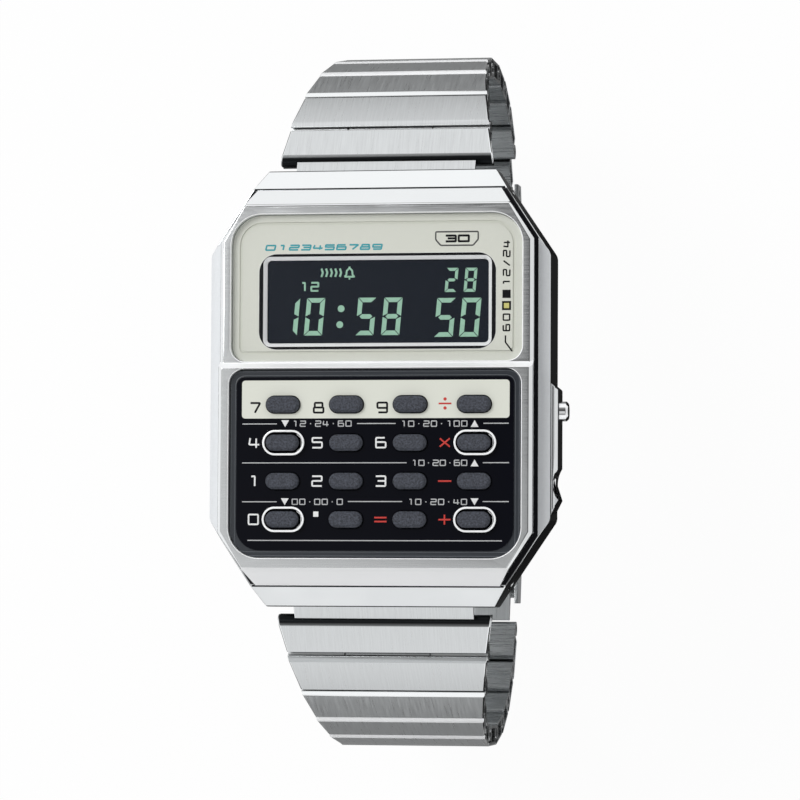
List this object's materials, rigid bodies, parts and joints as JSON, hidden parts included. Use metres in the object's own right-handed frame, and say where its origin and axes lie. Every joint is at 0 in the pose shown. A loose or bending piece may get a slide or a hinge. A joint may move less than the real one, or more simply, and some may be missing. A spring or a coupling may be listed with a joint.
{
  "type": "calculator watch",
  "caption": "Digital wristwatch with a calculator keypad under its display, side pushers and a folded-link steel bracelet with a folding clasp.",
  "frame": {"origin": "centre of the case back's outer face", "axes": "+Z out through the display, +Y towards twelve o'clock, +X towards three o'clock"},
  "size_m": [0.0365, 0.0734, 0.0538],
  "materials": {
    "case_steel": "brushed along the flanks",
    "bezel_steel": "fine brushed top with polished bevels",
    "crystal_clear": "clear polished",
    "face_cream": "printed, satin",
    "frame_silver": "bright bevel",
    "panel_black": "gloss",
    "back_steel": "straight brushed",
    "screw_steel": "turned",
    "bar_steel": "drawn wire",
    "lcd_glass": "dark polarised glass",
    "connector_rubber": "matt",
    "board_green": "solder mask",
    "module_plastic": "moulded",
    "battery_steel": "nickel plated",
    "buzzer_brass": "plain",
    "gasket_rubber": "matt",
    "membrane_rubber": "matt silicone",
    "key_rubber": "matt, fine grain",
    "pusher_chrome": "polished",
    "link_steel": "brushed along the bracelet, polished bevel",
    "clasp_steel": "brushed"
  },
  "bodies": {
    "case": {"case_body": "case_steel", "bezel": "bezel_steel", "crystal": "crystal_clear", "face_plate": "face_cream", "lcd_frame": "frame_silver", "keypad_panel": "panel_black", "case_back": "back_steel", "case_back_screws": "screw_steel", "spring_bars": "bar_steel", "lcd_panel": "lcd_glass", "lcd_connectors": "connector_rubber", "circuit_board": "board_green", "module_frame": "module_plastic", "coin_battery": "battery_steel", "battery_clip": "bar_steel", "piezo_buzzer": "buzzer_brass", "case_gasket": "gasket_rubber", "keypad_membrane": "membrane_rubber"},
    "key_7": {"key_7": "key_rubber"},
    "key_8": {"key_8": "key_rubber"},
    "key_9": {"key_9": "key_rubber"},
    "key_divide": {"key_divide": "key_rubber"},
    "key_4": {"key_4": "key_rubber"},
    "key_5": {"key_5": "key_rubber"},
    "key_6": {"key_6": "key_rubber"},
    "key_multiply": {"key_multiply": "key_rubber"},
    "key_1": {"key_1": "key_rubber"},
    "key_2": {"key_2": "key_rubber"},
    "key_3": {"key_3": "key_rubber"},
    "key_minus": {"key_minus": "key_rubber"},
    "key_0": {"key_0": "key_rubber"},
    "key_point": {"key_point": "key_rubber"},
    "key_equals": {"key_equals": "key_rubber"},
    "key_plus": {"key_plus": "key_rubber"},
    "mode_pusher": {"mode_pusher": "pusher_chrome"},
    "adjust_pusher": {"adjust_pusher": "pusher_chrome"},
    "link_twelve_01": {"link_twelve_01": "link_steel"},
    "link_twelve_02": {"link_twelve_02": "link_steel"},
    "link_twelve_03": {"link_twelve_03": "link_steel"},
    "link_twelve_04": {"link_twelve_04": "link_steel"},
    "link_twelve_05": {"link_twelve_05": "link_steel"},
    "link_twelve_06": {"link_twelve_06": "link_steel"},
    "link_twelve_07": {"link_twelve_07": "link_steel"},
    "link_twelve_08": {"link_twelve_08": "link_steel"},
    "link_twelve_09": {"link_twelve_09": "link_steel"},
    "link_twelve_10": {"link_twelve_10": "link_steel", "clasp_bar": "bar_steel"},
    "link_six_01": {"link_six_01": "link_steel"},
    "link_six_02": {"link_six_02": "link_steel"},
    "link_six_03": {"link_six_03": "link_steel"},
    "link_six_04": {"link_six_04": "link_steel"},
    "link_six_05": {"link_six_05": "link_steel"},
    "link_six_06": {"link_six_06": "link_steel"},
    "link_six_07": {"link_six_07": "link_steel"},
    "link_six_08": {"link_six_08": "link_steel"},
    "link_six_09": {"link_six_09": "link_steel"},
    "link_six_10": {"link_six_10": "link_steel"},
    "clasp_plate": {"clasp_plate": "clasp_steel"},
    "clasp_blade": {"clasp_blade": "clasp_steel"},
    "clasp_cover": {"clasp_cover": "clasp_steel"}
  },
  "joints": [
    {"name": "key_7_press", "type": "slide", "parent": "case", "child": "key_7", "axis": [0, 0, -1], "range_m": [0, 0.0004], "stiffness_N_per_m": 1200, "springref_m": -0.0003},
    {"name": "key_8_press", "type": "slide", "parent": "case", "child": "key_8", "axis": [0, 0, -1], "range_m": [0, 0.0004], "stiffness_N_per_m": 1200, "springref_m": -0.0003},
    {"name": "key_9_press", "type": "slide", "parent": "case", "child": "key_9", "axis": [0, 0, -1], "range_m": [0, 0.0004], "stiffness_N_per_m": 1200, "springref_m": -0.0003},
    {"name": "key_divide_press", "type": "slide", "parent": "case", "child": "key_divide", "axis": [0, 0, -1], "range_m": [0, 0.0004], "stiffness_N_per_m": 1200, "springref_m": -0.0003},
    {"name": "key_4_press", "type": "slide", "parent": "case", "child": "key_4", "axis": [0, 0, -1], "range_m": [0, 0.0004], "stiffness_N_per_m": 1200, "springref_m": -0.0003},
    {"name": "key_5_press", "type": "slide", "parent": "case", "child": "key_5", "axis": [0, 0, -1], "range_m": [0, 0.0004], "stiffness_N_per_m": 1200, "springref_m": -0.0003},
    {"name": "key_6_press", "type": "slide", "parent": "case", "child": "key_6", "axis": [0, 0, -1], "range_m": [0, 0.0004], "stiffness_N_per_m": 1200, "springref_m": -0.0003},
    {"name": "key_multiply_press", "type": "slide", "parent": "case", "child": "key_multiply", "axis": [0, 0, -1], "range_m": [0, 0.0004], "stiffness_N_per_m": 1200, "springref_m": -0.0003},
    {"name": "key_1_press", "type": "slide", "parent": "case", "child": "key_1", "axis": [0, 0, -1], "range_m": [0, 0.0004], "stiffness_N_per_m": 1200, "springref_m": -0.0003},
    {"name": "key_2_press", "type": "slide", "parent": "case", "child": "key_2", "axis": [0, 0, -1], "range_m": [0, 0.0004], "stiffness_N_per_m": 1200, "springref_m": -0.0003},
    {"name": "key_3_press", "type": "slide", "parent": "case", "child": "key_3", "axis": [0, 0, -1], "range_m": [0, 0.0004], "stiffness_N_per_m": 1200, "springref_m": -0.0003},
    {"name": "key_minus_press", "type": "slide", "parent": "case", "child": "key_minus", "axis": [0, 0, -1], "range_m": [0, 0.0004], "stiffness_N_per_m": 1200, "springref_m": -0.0003},
    {"name": "key_0_press", "type": "slide", "parent": "case", "child": "key_0", "axis": [0, 0, -1], "range_m": [0, 0.0004], "stiffness_N_per_m": 1200, "springref_m": -0.0003},
    {"name": "key_point_press", "type": "slide", "parent": "case", "child": "key_point", "axis": [0, 0, -1], "range_m": [0, 0.0004], "stiffness_N_per_m": 1200, "springref_m": -0.0003},
    {"name": "key_equals_press", "type": "slide", "parent": "case", "child": "key_equals", "axis": [0, 0, -1], "range_m": [0, 0.0004], "stiffness_N_per_m": 1200, "springref_m": -0.0003},
    {"name": "key_plus_press", "type": "slide", "parent": "case", "child": "key_plus", "axis": [0, 0, -1], "range_m": [0, 0.0004], "stiffness_N_per_m": 1200, "springref_m": -0.0003},
    {"name": "mode_press", "type": "slide", "parent": "case", "child": "mode_pusher", "axis": [-1, 0, 0], "range_m": [0, 0.00045], "stiffness_N_per_m": 2000, "springref_m": -0.0003},
    {"name": "adjust_press", "type": "slide", "parent": "case", "child": "adjust_pusher", "axis": [-1, 0, 0], "range_m": [0, 0.00045], "stiffness_N_per_m": 2000, "springref_m": -0.0003},
    {"name": "link_twelve_01_hinge", "type": "hinge", "parent": "case", "child": "link_twelve_01", "pos_m": [0, 0.02, 0.0026], "axis": [1, 0, 0], "range_deg": [0, 30]},
    {"name": "link_twelve_02_hinge", "type": "hinge", "parent": "link_twelve_01", "child": "link_twelve_02", "pos_m": [0, 0.02685, -0.00143], "axis": [1, 0, 0], "range_deg": [0, 17.5]},
    {"name": "link_twelve_03_hinge", "type": "hinge", "parent": "link_twelve_02", "child": "link_twelve_03", "pos_m": [0, 0.03023, -0.00519], "axis": [1, 0, 0], "range_deg": [0, 11.5]},
    {"name": "link_twelve_04_hinge", "type": "hinge", "parent": "link_twelve_03", "child": "link_twelve_04", "pos_m": [0, 0.03279, -0.00954], "axis": [1, 0, 0], "range_deg": [0, 10.5]},
    {"name": "link_twelve_05_hinge", "type": "hinge", "parent": "link_twelve_04", "child": "link_twelve_05", "pos_m": [0, 0.03452, -0.01428], "axis": [1, 0, 0], "range_deg": [0, 10]},
    {"name": "link_twelve_06_hinge", "type": "hinge", "parent": "link_twelve_05", "child": "link_twelve_06", "pos_m": [0, 0.0354, -0.01926], "axis": [1, 0, 0], "range_deg": [0, 10]},
    {"name": "link_twelve_07_hinge", "type": "hinge", "parent": "link_twelve_06", "child": "link_twelve_07", "pos_m": [0, 0.0354, -0.02431], "axis": [1, 0, 0], "range_deg": [0, 12]},
    {"name": "link_twelve_08_hinge", "type": "hinge", "parent": "link_twelve_07", "child": "link_twelve_08", "pos_m": [0, 0.03435, -0.02925], "axis": [1, 0, 0], "range_deg": [0, 14]},
    {"name": "link_twelve_09_hinge", "type": "hinge", "parent": "link_twelve_08", "child": "link_twelve_09", "pos_m": [0, 0.03213, -0.03379], "axis": [1, 0, 0], "range_deg": [0, 16]},
    {"name": "link_twelve_10_hinge", "type": "hinge", "parent": "link_twelve_09", "child": "link_twelve_10", "pos_m": [0, 0.02875, -0.03754], "axis": [1, 0, 0], "range_deg": [0, 18.5]},
    {"name": "link_six_01_hinge", "type": "hinge", "parent": "case", "child": "link_six_01", "pos_m": [0, -0.02, 0.0026], "axis": [1, 0, 0], "range_deg": [-30, 0]},
    {"name": "link_six_02_hinge", "type": "hinge", "parent": "link_six_01", "child": "link_six_02", "pos_m": [0, -0.02685, -0.00143], "axis": [1, 0, 0], "range_deg": [-17.5, 0]},
    {"name": "link_six_03_hinge", "type": "hinge", "parent": "link_six_02", "child": "link_six_03", "pos_m": [0, -0.03023, -0.00519], "axis": [1, 0, 0], "range_deg": [-11.5, 0]},
    {"name": "link_six_04_hinge", "type": "hinge", "parent": "link_six_03", "child": "link_six_04", "pos_m": [0, -0.03279, -0.00954], "axis": [1, 0, 0], "range_deg": [-10.5, 0]},
    {"name": "link_six_05_hinge", "type": "hinge", "parent": "link_six_04", "child": "link_six_05", "pos_m": [0, -0.03452, -0.01428], "axis": [1, 0, 0], "range_deg": [-10, 0]},
    {"name": "link_six_06_hinge", "type": "hinge", "parent": "link_six_05", "child": "link_six_06", "pos_m": [0, -0.0354, -0.01926], "axis": [1, 0, 0], "range_deg": [-10, 0]},
    {"name": "link_six_07_hinge", "type": "hinge", "parent": "link_six_06", "child": "link_six_07", "pos_m": [0, -0.0354, -0.02431], "axis": [1, 0, 0], "range_deg": [-12, 0]},
    {"name": "link_six_08_hinge", "type": "hinge", "parent": "link_six_07", "child": "link_six_08", "pos_m": [0, -0.03435, -0.02925], "axis": [1, 0, 0], "range_deg": [-14, 0]},
    {"name": "link_six_09_hinge", "type": "hinge", "parent": "link_six_08", "child": "link_six_09", "pos_m": [0, -0.03213, -0.03379], "axis": [1, 0, 0], "range_deg": [-16, 0]},
    {"name": "link_six_10_hinge", "type": "hinge", "parent": "link_six_09", "child": "link_six_10", "pos_m": [0, -0.02875, -0.03754], "axis": [1, 0, 0], "range_deg": [-18.5, 0]},
    {"name": "clasp_plate_hinge", "type": "hinge", "parent": "link_six_10", "child": "clasp_plate", "pos_m": [0, -0.02436, -0.04003], "axis": [1, 0, 0], "range_deg": [-14, 0]},
    {"name": "clasp_blade_hinge", "type": "hinge", "parent": "clasp_plate", "child": "clasp_blade", "pos_m": [0, 0.01501, -0.04187], "axis": [1, 0, 0], "range_deg": [0, 150]},
    {"name": "clasp_cover_hinge", "type": "hinge", "parent": "clasp_blade", "child": "clasp_cover", "pos_m": [0, -0.02061, -0.0414], "axis": [1, 0, 0], "range_deg": [-110, 0]}
  ]
}
